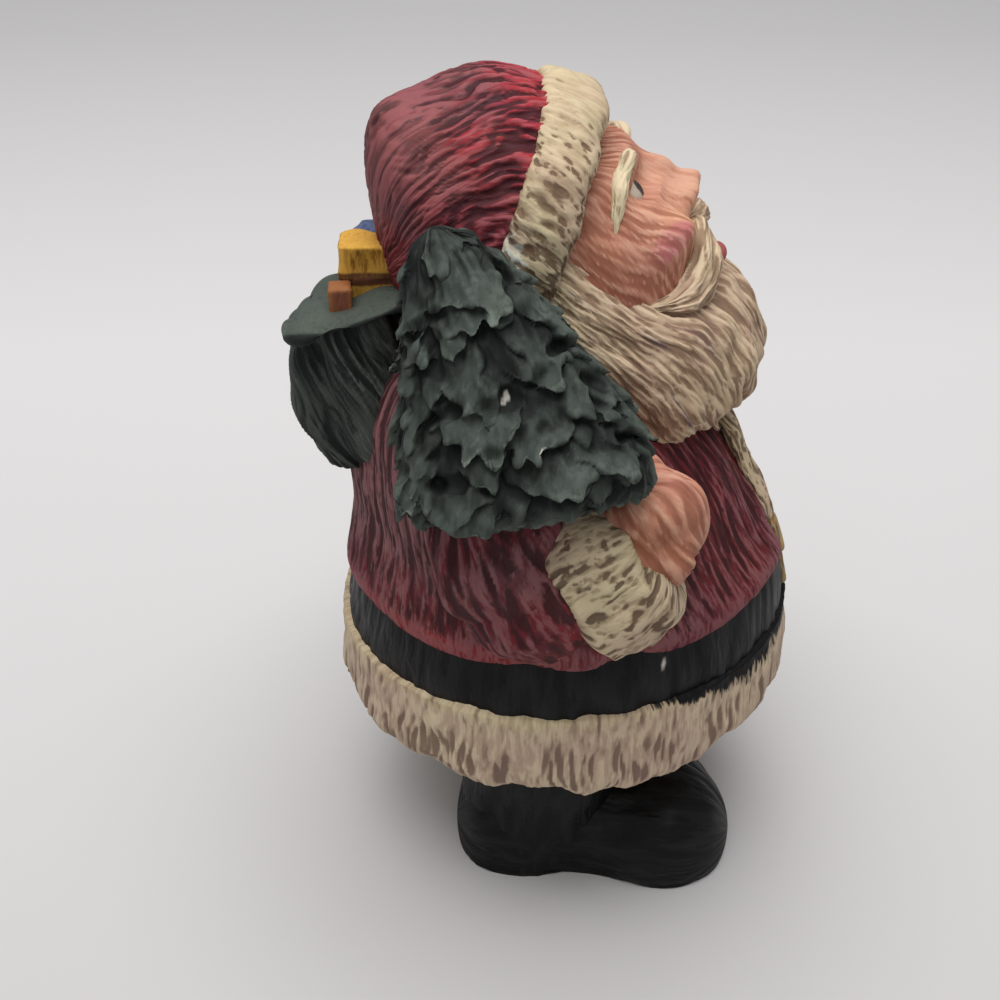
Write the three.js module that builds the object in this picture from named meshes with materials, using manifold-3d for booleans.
// A santa figurine, cast in one piece of resin and painted. Millimetres, +Z up. The figure
// faces -Y, its own right hand is on the -X side, and the origin lies between the soles.
// A rotund coat stands on two stub boots; the big head is tipped back to look up. A fir tree
// leans on the right shoulder, held in the fist, and a sack of presents hangs on the back.
//
// Every form is a sweep: an ellipse carried along a smooth path, closed at both ends, with
// the carving that shows from a step away added to its radius. The forms are joined into
// one closed solid.
import * as THREE from 'three';
import { mergeVertices } from 'three/addons/utils/BufferGeometryUtils.js';
import Module from 'manifold-3d';

const wasm = await Module();
wasm.setup();

// Driving dimensions
const BODY_WIDTH = 63; // side to side, at the hem
const BODY_DEPTH = 68; // front to back, at the hem
const HEM_BOTTOM = 27;
const HEM_TOP = 42;
const BELT_TOP = 51;
const SHOULDER_TOP = 88;
const FRONT_LIFT = 0.05; // the belly lifts belt and hem by this slope towards the front
const BOOT_LENGTH = 43;
const BOOT_WIDTH = 21;
const BOOT_HEIGHT = 14;
const HEAD_CENTRE = [0, 0.5, 94.5];
const HEAD_TILT = 40; // degrees that the face looks up
const HEAD_WIDTH = 33;
const HAT_CENTRE = [0, 8, 98.6];
const HAT_RADIUS = 19.4;
const HAT_TILT = 21; // degrees that the hat's axis rises towards the back
const BRIM_BAND = 8.6;
const BRIM_THICK = 4.2;
const TREE_TIP = [-20.8, 17.6, 107.9];
const TREE_BASE = [-34.4, 5.2, 75.8];
const SACK_WIDTH = 27;

const TAU = 2 * Math.PI;
const vec = (p) => new THREE.Vector3(...p);
const radians = (degrees) => (degrees * Math.PI) / 180;

// The head's own axes: face points out of the face, crown out of the top of the head.
const FACE = vec([0, -Math.cos(radians(HEAD_TILT)), Math.sin(radians(HEAD_TILT))]);
const CROWN = vec([0, Math.sin(radians(HEAD_TILT)), Math.cos(radians(HEAD_TILT))]);

// A point of the head: sideways, out of the face, and towards the crown.
function onHead(side, out, up) {
  return vec(HEAD_CENTRE)
    .add(vec([side, 0, 0]))
    .addScaledVector(FACE, out)
    .addScaledVector(CROWN, up)
    .toArray();
}

// A closed solid from rings of points. Ring 0 and the last ring are closed by flat fans.
function solidFromRings(rings) {
  const sides = rings[0].length;
  const centre = (ring) =>
    ring.reduce((sum, p) => sum.add(p), new THREE.Vector3()).divideScalar(sides);
  const points = [...rings.flat(), centre(rings[0]), centre(rings.at(-1))];
  const first = rings.length * sides;
  const index = [];
  for (let j = 0; j < sides; j += 1) {
    const k = (j + 1) % sides;
    for (let i = 0; i < rings.length - 1; i += 1) {
      const [a, b] = [i * sides, (i + 1) * sides];
      index.push(a + j, a + k, b + k, a + j, b + k, b + j);
    }
    const end = (rings.length - 1) * sides;
    index.push(first, k, j, first + 1, end + j, end + k);
  }
  return solidFrom(points, index);
}

// A solid from points and triangles, turned right side out where its volume is negative.
function solidFrom(points, index) {
  let volume = 0;
  for (let i = 0; i < index.length; i += 3) {
    const [a, b, c] = index.slice(i, i + 3).map((n) => points[n]);
    volume += a.dot(b.clone().cross(c));
  }
  if (volume < 0) index.reverse();
  const geometry = new THREE.BufferGeometry();
  geometry.setAttribute(
    'position',
    new THREE.Float32BufferAttribute(points.flatMap((p) => p.toArray()), 3),
  );
  geometry.setIndex(index);
  return solidFromGeometry(geometry);
}

// A manifold solid from a closed three.js geometry.
function solidFromGeometry(geometry) {
  const bare = geometry.clone();
  bare.deleteAttribute('normal');
  bare.deleteAttribute('uv');
  const merged = mergeVertices(bare, 1e-5);
  return new wasm.Manifold(
    new wasm.Mesh({
      numProp: 3,
      vertProperties: new Float32Array(merged.attributes.position.array),
      triVerts: new Uint32Array(merged.index.array),
    }),
  );
}

// The share of its full radius that a sweep has at v, where caps are the lengths, as shares
// of the whole, over which its two ends are rounded like a quarter of an ellipse.
function endShare(v, [start, end]) {
  const dip = (t) => Math.sqrt(Math.max(0, 1 - (1 - Math.min(t, 1)) ** 2));
  return (start ? dip(v / start) : 1) * (end ? dip((1 - v) / end) : 1);
}

// An ellipse carried along a smooth path. Each row is a path point followed by its two
// radii: along `across`, and square to it. relief(turn, v) is added to the radius, in mm,
// where turn runs from 0 to 1 round the ellipse and v from 0 to 1 along the path. A power
// over 2 squares the ellipse up. Rings crowd towards the ends, unless they are even, and
// stand square to the path, unless they are level.
function sweep(rows, { across = [1, 0, 0], sides = 24, steps = 12, caps = [0.2, 0.2],
  power = 2, even = false, level = false, relief = () => 0, shape = (p) => p }) {
  const line = (points) => new THREE.CatmullRomCurve3(points, false, 'catmullrom', 0.5);
  const path = line(rows.map((r) => vec(r.slice(0, 3))));
  const radii = line(rows.map((r) => vec([r[3], r[4], 0])));
  const rings = [];
  for (let i = 0; i <= steps; i += 1) {
    const v = even ? i / steps : (1 - Math.cos((Math.PI * i) / steps)) / 2;
    const centre = path.getPoint(v);
    const tangent = level ? vec([0, 0, 1]) : path.getTangent(v);
    const radius = radii.getPoint(v);
    const share = Math.max(endShare(v, caps), 0.08);
    const a = vec(across).addScaledVector(tangent, -vec(across).dot(tangent)).normalize();
    const b = tangent.clone().cross(a);
    const ring = [];
    for (let j = 0; j < sides; j += 1) {
      const turn = j / sides;
      const [c, s] = [Math.cos(TAU * turn), Math.sin(TAU * turn)];
      const square = (Math.abs(c) ** power + Math.abs(s) ** power) ** (-1 / power);
      const more = relief(turn, v) * share;
      const point = centre.clone()
        .addScaledVector(a, c * (radius.x * share * square + more))
        .addScaledVector(b, s * (radius.y * share * square + more));
      ring.push(shape(point));
    }
    rings.push(ring);
  }
  return solidFromRings(rings);
}

// A squashed ball between two points, for small rounded features.
function bead(from, to, width, depth, sides = 8) {
  const middle = vec(from).lerp(vec(to), 0.5).toArray();
  const sideways = Math.abs(to[0] - from[0]) > 0.7 * vec(from).distanceTo(vec(to));
  const across = sideways ? [0, 0, 1] : [1, 0, 0];
  const rows = [from, middle, to].map((p) => [...p, width, depth]);
  return sweep(rows, { across, sides, steps: 5, caps: [0.5, 0.5] });
}

const join = (solids) => solids.reduce((sum, next) => sum.add(next));

// Repeated ridges: 1 on the crest of each of `count` round lobes, 0 in the groove.
const lobes = (turn, count, phase = 0) => Math.abs(Math.cos(Math.PI * (turn * count + phase)));

// The belly lifts the rims of belt, coat and hem towards the front.
const lifted = (p) => p.setZ(p.z - FRONT_LIFT * p.y);

// Hem, belt and coat are three round courses, one on the other.
function coat() {
  const [w, d] = [BODY_WIDTH / 2, BODY_DEPTH / 2];
  const hemRows = [
    [0, 0.4, HEM_BOTTOM - 0.6, w - 1, d - 2.8],
    [0, 0.4, HEM_BOTTOM + 2.5, w + 0.8, d - 0.4],
    [0, 0.4, HEM_BOTTOM + 8, w + 1, d - 0.2],
    [0, 0.4, HEM_TOP + 1, w - 0.3, d - 1.8],
  ];
  const tufts = (turn, v) => 0.7 * lobes(turn, 14) + 0.4 * lobes(turn, 7, v) - 0.4;
  const raggedEdge = (p) => {
    const angle = Math.atan2(p.y, p.x);
    const low = Math.max(0, 1 - (p.z - HEM_BOTTOM) / 4);
    const wander = 0.6 * Math.sin(5 * angle) + 0.5 * Math.sin(13 * angle);
    const atBack = THREE.MathUtils.smoothstep(p.y, 8, 32);
    return lifted(p.setZ(p.z + low * (wander + 2.7 * atBack)));
  };
  const hem = sweep(hemRows, { sides: 42, steps: 4, caps: [0.12, 0.12], relief: tufts,
    shape: raggedEdge });
  const beltRows = [
    [0, 0.4, HEM_TOP - 5, w + 0.2, d - 1.4],
    [0, 0.4, HEM_TOP + 2, w + 0.1, d - 1.5],
    [0, 0.8, BELT_TOP + 1, w - 1.4, d - 2.9],
  ];
  const belt = sweep(beltRows, { sides: 36, steps: 2, caps: [0, 0], shape: lifted });
  const coatRows = [
    [0, 0.5, BELT_TOP - 6, w - 3.6, d - 4],
    [0, 0.5, BELT_TOP - 0.5, w - 2, d - 2.8],
    [0, 1.4, BELT_TOP + 5, w - 0.8, d - 4],
    [0, 2.7, BELT_TOP + 11, w - 2, d - 6.3],
    [0, 5.2, BELT_TOP + 19, w - 5, d - 8.3],
    [0, 7.9, BELT_TOP + 27, w - 9, d - 12.2],
    [0, 8.4, SHOULDER_TOP, w - 14.6, d - 18.4],
  ];
  const folds = (turn, v) => 0.5 * lobes(turn, 10, 0.3 * v);
  const upper = sweep(coatRows, { sides: 30, steps: 8, caps: [0.04, 0.1], level: true,
    relief: folds, shape: lifted });
  const placketRows = [
    [0, -29.6, 52, 5, 1.7],
    [0, -28.4, 56, 5, 1.7],
    [0, -25.2, 62, 4.8, 1.7],
    [0, -21.6, 70, 4.6, 1.7],
    [0, -14, 78, 4.4, 1.7],
  ];
  const placket = sweep(placketRows, { sides: 8, steps: 5, caps: [0.1, 0.1], shape: lifted });
  return [hem, belt, upper, placket];
}

// A square frame at the front of the belt.
function buckle() {
  const [width, height, bar, thick] = [12.6, 11, 2.4, 2.2];
  const frame = new THREE.Shape([
    new THREE.Vector2(-width / 2, -height / 2),
    new THREE.Vector2(width / 2, -height / 2),
    new THREE.Vector2(width / 2, height / 2),
    new THREE.Vector2(-width / 2, height / 2),
  ]);
  frame.holes.push(new THREE.Path([
    new THREE.Vector2(-width / 2 + bar, -height / 2 + bar),
    new THREE.Vector2(-width / 2 + bar, height / 2 - bar),
    new THREE.Vector2(width / 2 - bar, height / 2 - bar),
    new THREE.Vector2(width / 2 - bar, -height / 2 + bar),
  ]));
  const geometry = new THREE.ExtrudeGeometry(frame, { depth: thick, bevelEnabled: false });
  geometry.rotateX(radians(76)).translate(0, -29.4, 49.6);
  return solidFromGeometry(geometry);
}

// One boot: an upright shaft and a bulbous foot, cut off flat at the ground.
function boot(side) {
  const grounded = (p) => p.setZ(Math.max(p.z, 0));
  const [middle, toeOut] = [side * 12.6, side * 1.8];
  const shaft = sweep([
    [middle, 4, -4, 9.6, 12],
    [middle, 3.6, 8, 9.8, 12.2],
    [middle, 3.2, 18, 10.2, 12.2],
    [middle, 3, HEM_BOTTOM + 4, 10.6, 12.6],
  ], { sides: 14, steps: 3, caps: [0, 0], shape: grounded });
  const heel = BOOT_LENGTH * 0.39;
  const foot = sweep([
    [middle, heel, 3.6, BOOT_WIDTH * 0.44, BOOT_HEIGHT * 0.8],
    [middle, heel - 10, 3.4, BOOT_WIDTH * 0.46, BOOT_HEIGHT * 0.8],
    [middle, heel - 22, 3.2, BOOT_WIDTH * 0.47, BOOT_HEIGHT * 0.76],
    [middle + toeOut, heel - 33, 3.4, BOOT_WIDTH * 0.53, BOOT_HEIGHT * 0.8],
    [middle + toeOut * 1.4, heel - BOOT_LENGTH, 3.2, BOOT_WIDTH * 0.5, BOOT_HEIGHT * 0.74],
  ], { sides: 14, steps: 8, caps: [0.16, 0.26], power: 2.3, shape: grounded });
  return [shaft, foot];
}

// The resin that fills the space between the two boots, from heel to instep.
function web() {
  const geometry = new THREE.BoxGeometry(9, 20, HEM_BOTTOM + 2);
  geometry.translate(0, 3, (HEM_BOTTOM + 2) / 2);
  return solidFromGeometry(geometry);
}

// Skull, brows, lids, nose and cheeks, set on the head by plain proportions.
function face() {
  const half = HEAD_WIDTH / 2;
  const skull = sweep([
    [...onHead(0, 0, -18), half, half],
    [...onHead(0, 0, 0), half, half],
    [...onHead(0, 0, 18), half, half],
  ], { sides: 16, steps: 8, caps: [0.5, 0.5] });
  const features = [
    bead(onHead(0, 13.6, 5.6), onHead(0, 18.6, -2.6), 1.9, 2.4),
    bead(onHead(-2.8, 17.4, -2), onHead(2.8, 17.4, -2), 2.6, 2.6),
  ];
  for (const side of [-1, 1]) {
    features.push(
      bead(onHead(side * 2, 14.4, 7.8), onHead(side * 10, 11.8, 7.4), 1.8, 1.8),
      bead(onHead(side * 3.2, 14.2, 3.6), onHead(side * 8.8, 12.2, 3.4), 1.8, 1.8),
      bead(onHead(side * 4.4, 13.6, -4.2), onHead(side * 12, 10, -3.8), 3.9, 3.6),
    );
  }
  return [skull, ...features];
}

// The beard hangs from the temples in one mass, parted into locks; the moustache lies on it.
function beard() {
  const locks = (turn, v) => 1.5 * lobes(turn, 9, 0.8 * v) - 0.8;
  const mass = sweep([
    [...onHead(0, -3, 12), 17.4, 8],
    [...onHead(0, -2, 3), 18.8, 10],
    [...onHead(0, -0.5, -7), 19, 11.4],
    [...onHead(0, 0, -14), 18.4, 15.4],
    [...onHead(0, -0.8, -22), 16.6, 15.3],
    [...onHead(0, -2.4, -30.4), 13, 12],
  ], { sides: 27, steps: 9, caps: [0.1, 0.24], relief: locks });
  const parts = [mass];
  for (const side of [-1, 1]) {
    const strands = (turn) => 0.5 * lobes(turn, 6);
    parts.push(sweep([
      [...onHead(side * 0.4, 14.6, -5.6), 2, 2],
      [...onHead(side * 5, 14.8, -7.6), 2.5, 2.4],
      [...onHead(side * 9.4, 12, -9.6), 2.6, 2.4],
      [...onHead(side * 12.2, 9.2, -8.8), 2.1, 2],
      [...onHead(side * 14, 6.7, -6.4), 1.3, 1.3],
    ], { across: CROWN.toArray(), sides: 10, steps: 6, caps: [0.2, 0.4], relief: strands }));
  }
  parts.push(bead(onHead(-2.4, 15.4, -12), onHead(2.4, 15.4, -12), 1.6, 1.5));
  return parts;
}

// A soft dome whose ribs run down to a tail at the nape, with a rounded corner at the upper
// back and a slight hollow under it, cut off at the brim, and the brim.
function hat() {
  const tilt = radians(HAT_TILT);
  const back = vec([0, Math.cos(tilt), Math.sin(tilt)]);
  const centre = vec(HAT_CENTRE);
  const tail = vec([0, 0.8, -0.6]);
  const behindBrim = (p) => {
    const ahead = p.clone().sub(centre).dot(back);
    return p.addScaledVector(back, Math.max(0, -3 - ahead));
  };
  const [corner, below] = [vec([0, 0.755, 0.656]), vec([0, 0.995, -0.1])];
  const puffed = (p) => {
    const away = p.clone().sub(centre);
    const middle = Math.max(0, 1 - (away.x / HAT_RADIUS) ** 2);
    const seen = away.setX(0).normalize();
    const out = 3 * Math.max(0, seen.dot(corner)) ** 22 * middle;
    const inward = 0.9 * Math.max(0, seen.dot(below)) ** 10;
    return behindBrim(p.addScaledVector(corner, out).addScaledVector(below, -inward));
  };
  const tip = centre.clone().addScaledVector(tail, HAT_RADIUS - 1.6);
  const front = centre.clone().addScaledVector(tail, -HAT_RADIUS);
  const rows = [tip, tip.clone().lerp(front, 0.5), front]
    .map((p) => [...p.toArray(), HAT_RADIUS, HAT_RADIUS + 1.7]);
  const ribs = (turn, v) => 0.4 * lobes(turn, 8, 0.4 * v);
  const dome = sweep(rows, { sides: 24, steps: 10, caps: [0.5, 0.5], relief: ribs,
    shape: puffed });
  return [dome, brim(centre, back)];
}

// A fur band round the hat: a flattened tube carried round a circle.
function brim(centre, back) {
  const [turns, sides] = [32, 6];
  const up = back.clone().cross(vec([1, 0, 0])).negate();
  const points = [];
  const index = [];
  for (let i = 0; i < turns; i += 1) {
    const angle = (TAU * i) / turns;
    const outward = vec([Math.cos(angle), 0, 0]).addScaledVector(up, Math.sin(angle));
    const puff = 0.35 * lobes(i / turns, 8);
    for (let j = 0; j < sides; j += 1) {
      const around = (TAU * (j + 0.5)) / sides;
      const radial = HAT_RADIUS - 0.6 + (BRIM_THICK / 2 + puff) * Math.sin(around) * 1.06;
      const along = (BRIM_BAND / 2) * Math.cos(around) * 1.06 - 0.4;
      points.push(centre.clone().addScaledVector(outward, radial).addScaledVector(back, along));
      const next = (i + 1) % turns;
      const k = (j + 1) % sides;
      index.push(i * sides + j, next * sides + j, next * sides + k);
      index.push(i * sides + j, next * sides + k, i * sides + k);
    }
  }
  return solidFrom(points, index);
}

// An arm in three parts: a baggy sleeve, a fur cuff square to the forearm, and a fist.
function arm(sleeveRows, wrist, pointing, across, cuffRadius, hand) {
  const folds = (turn, v) => 0.5 * lobes(turn, 5, v);
  const sleeve = sweep(sleeveRows, { sides: 15, steps: 8, caps: [0.15, 0.1], relief: folds });
  const axis = vec(pointing).normalize();
  const at = (t) => vec(wrist).addScaledVector(axis, t).toArray();
  const puffs = (turn) => 0.5 * lobes(turn, 6);
  const cuff = sweep([
    [...at(-8), cuffRadius * 0.94, cuffRadius * 0.78],
    [...at(-1.4), cuffRadius, cuffRadius * 0.84],
    [...at(5.2), cuffRadius * 0.9, cuffRadius * 0.74],
  ], { across, sides: 18, steps: 3, caps: [0.16, 0.16], relief: puffs });
  return [sleeve, cuff, hand];
}

// A fist: a rounded block from the wrist to the knuckles, grooved between its fingers.
function fist(rows, across) {
  const fingers = (turn) => 1.1 * lobes(turn, 5) - 0.6;
  return sweep(rows, { across, sides: 15, steps: 6, caps: [0.2, 0.42], relief: fingers });
}

// The right fist closes round the trunk of the tree. The left one grips the strap of the
// sack at the front of the shoulder.
function arms() {
  const right = arm([
    [-14, 6, 84, 8, 8],
    [-25, 9, 76, 8.6, 9.4],
    [-29.6, 9, 67, 8.6, 9.6],
    [-30, 3.5, 63.4, 8, 9.4],
    [-29.2, -4, 66.4, 7.2, 9],
  ], [-28.6, -4.6, 66.6], [0.1, -0.82, 0.57], [0, 0.57, 0.82], 11.8, fist([
    [-28.4, 1, 65, 7.2, 8.2],
    [-27.4, -8.4, 70.6, 7.4, 8.6],
    [-25, -15.8, 73, 5.9, 7.4],
  ], [1, 0, 0]));
  const left = arm([
    [15, 7, 84, 8, 8],
    [26, 10, 74, 9, 9.5],
    [30, 7, 63, 8.6, 9.4],
    [28.4, -2.5, 61, 7.8, 8.6],
    [26, -9.6, 65.6, 6.8, 8],
  ], [25.6, -10.6, 66.4], [-0.18, -0.62, 0.76], [0, 0.76, 0.62], 9.6, fist([
    [25.4, -9, 64, 5.6, 6.4],
    [23.6, -14.4, 71, 6.2, 7],
    [21.6, -18.4, 77.6, 5, 6],
  ], [1, 0, 0]));
  const strap = sweep([
    [21, -18, 77.6, 2.8, 1.7],
    [20, -9, 81.4, 3, 1.9],
    [17.6, 2, 85, 3.2, 2],
    [14, 13, 86, 3.6, 2.2],
    [9, 24, 84, 4.2, 2.4],
  ], { sides: 8, steps: 7, caps: [0.1, 0.1] });
  return [...right, ...left, strap];
}

// A fir: tiers of drooping tufts that flare towards the base, each tier turned against the
// last so that its tufts fall between those above.
function tree() {
  const tiers = 5;
  const tip = vec(TREE_TIP);
  const base = vec(TREE_BASE);
  const drooping = (turn, v) => {
    const tier = Math.floor(v * tiers);
    const fall = v * tiers - tier;
    const tuft = lobes(turn, 8, 0.5 * (tier % 2));
    return (0.4 + 1.1 * v) * (1.9 * fall * tuft - 1);
  };
  const forward = vec([0, -0.95, 0.3]);
  const profile = [[0, 4.2, -0.4], [0.3, 9.4, 0], [0.6, 13.8, 0.1], [0.85, 15.6, -0.2],
    [1, 13.6, -1]];
  const rows = profile.map(([t, radius, bow]) => {
    const p = tip.clone().lerp(base, t).addScaledVector(forward, bow);
    return [...p.toArray(), radius, radius * 0.68];
  });
  const cone = sweep(rows, { across: [0, -0.86, 0.5], sides: 24, steps: 15, even: true,
    caps: [0.08, 0.18], relief: drooping });
  const trunk = sweep([
    [...base.clone().lerp(tip, 0.14).toArray(), 2.2, 2.2],
    [-28, -3, 72, 2.2, 2.2],
    [-25.5, -9, 67, 2, 2],
  ], { sides: 8, steps: 4, caps: [0, 0.2] });
  return [cone, trunk];
}

// The sack hangs on the back, full of presents. Its mouth is turned out into a broad flap that
// slopes down to the back and to the figure's left.
function sack() {
  const half = SACK_WIDTH / 2;
  const gathers = (turn, v) => 0.8 * lobes(turn, 9, 0.5 * v);
  const slope = (p) => 0.3 * (p.y - 28.6) + 0.12 * (p.x - 1.4);
  const sagging = (p) => {
    const upper = THREE.MathUtils.smoothstep(p.z, 76, 88);
    const lower = 1 - THREE.MathUtils.smoothstep(p.z, 66, 76);
    p.setZ(p.z + 0.35 * lower * (p.y - 28.6) - upper * slope(p));
    return p.setY(p.y - 0.25 * upper * (p.x - 1.4));
  };
  const bag = sweep([
    [2, 28, 65.8, half * 0.84, 7.8],
    [2, 28.6, 70, half * 0.92, 9],
    [1.6, 28.8, 77, half * 0.94, 9.6],
    [1.4, 27.8, 89.6, half * 0.76, 8.2],
  ], { sides: 27, steps: 6, caps: [0.14, 0.03], power: 2.8, relief: gathers, shape: sagging });
  const skewed = (p) => {
    p.setY(p.y - 0.25 * (p.x - 1.4));
    return p.setZ(p.z - slope(p));
  };
  const flap = sweep([
    [1.4, 27.4, 87.9, half - 1, 9.6],
    [1.4, 27.4, 89.3, half, 10.6],
    [1.4, 27.4, 91.1, half - 2, 8.6],
  ], { sides: 22, steps: 4, caps: [0.3, 0.3], power: 2.8, shape: skewed });
  return [bag, flap, ...presents()];
}

// Presents: boxes turned a little this way and that, and one ball.
function presents() {
  const box = (size, turn, at) => {
    const geometry = new THREE.BoxGeometry(...size);
    geometry.rotateZ(radians(turn)).translate(...at);
    return solidFromGeometry(geometry);
  };
  return [
    box([5.2, 7.6, 10.4], 3, [-2.6, 26.2, 89.2]),
    box([5.4, 8.6, 4.8], 2, [-2.6, 26.6, 96]),
    box([3.2, 3, 10], 6, [-6.8, 30.6, 89]),
    box([6.5, 6.5, 14.4], -14, [6, 26.8, 89.2]),
    bead([8.4, 21, 93], [12.4, 21.8, 93.4], 3, 3),
  ];
}

const figure = join([
  ...coat(),
  buckle(),
  ...boot(-1),
  ...boot(1),
  web(),
  ...face(),
  ...beard(),
  ...hat(),
  ...arms(),
  ...tree(),
  ...sack(),
]);

// A three.js geometry from a manifold solid.
function toGeometry(solid) {
  const mesh = solid.getMesh();
  const geometry = new THREE.BufferGeometry();
  geometry.setAttribute('position', new THREE.BufferAttribute(mesh.vertProperties, 3));
  geometry.setIndex(new THREE.BufferAttribute(mesh.triVerts, 1));
  geometry.computeVertexNormals();
  return geometry;
}

const paintedResin = new THREE.MeshStandardMaterial({
  name: 'painted_resin',
  color: 0x7a2f36,
  roughness: 0.7,
  metalness: 0,
});

const group = new THREE.Group();
const santa = new THREE.Mesh(toGeometry(figure), paintedResin);
santa.name = 'santa_figurine';
group.add(santa);

export default group;
